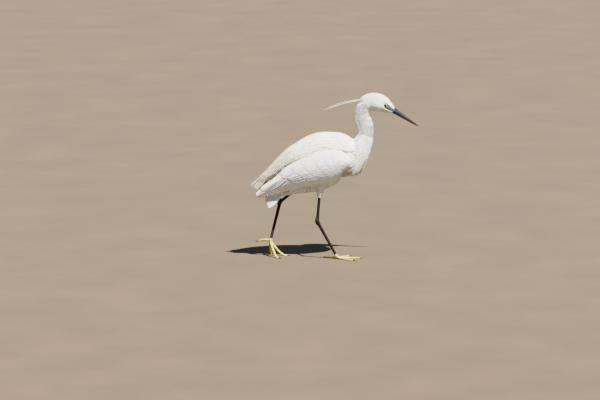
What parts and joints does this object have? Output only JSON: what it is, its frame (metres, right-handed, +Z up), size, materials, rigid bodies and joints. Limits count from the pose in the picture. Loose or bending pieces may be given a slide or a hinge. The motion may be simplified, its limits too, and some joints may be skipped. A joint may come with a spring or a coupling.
{
  "type": "little egret",
  "caption": "Life-size still model of a little egret, walking, with long neck, dagger bill, plumes, folded wings, long legs and spread toes.",
  "frame": {"origin": "on the floor, under the middle of the whole bird's length and width", "axes": "+X towards the bill, +Y towards the bird's left, +Z up"},
  "size_m": [0.4286, 0.1202, 0.4314],
  "materials": {
    "plumage": "soft matt feathers, white with a faint cream tinge",
    "bill": "satin black horn",
    "eyes": "wet gloss, pale yellow round a black pupil",
    "legs": "satin black scales",
    "feet": "satin greenish yellow scales",
    "claws": "satin black horn"
  },
  "bodies": {
    "root": {"bill_lower": "bill", "bill_upper": "bill", "claw_hind_left": "claws", "claw_hind_right": "claws", "claw_inner_left": "claws", "claw_inner_right": "claws", "claw_middle_left": "claws", "claw_middle_right": "claws", "claw_outer_left": "claws", "claw_outer_right": "claws", "eye_left": "eyes", "eye_right": "eyes", "foot_left": "feet", "foot_right": "feet", "head": "plumage", "mantle": "plumage", "neck_lower": "plumage", "neck_upper": "plumage", "shank_left": "legs", "shank_right": "legs", "tail": "plumage", "tarsus_left": "legs", "tarsus_right": "legs", "thigh_left": "plumage", "thigh_right": "plumage", "torso": "plumage", "wing_left": "plumage", "wing_right": "plumage"}
  },
  "joints": []
}
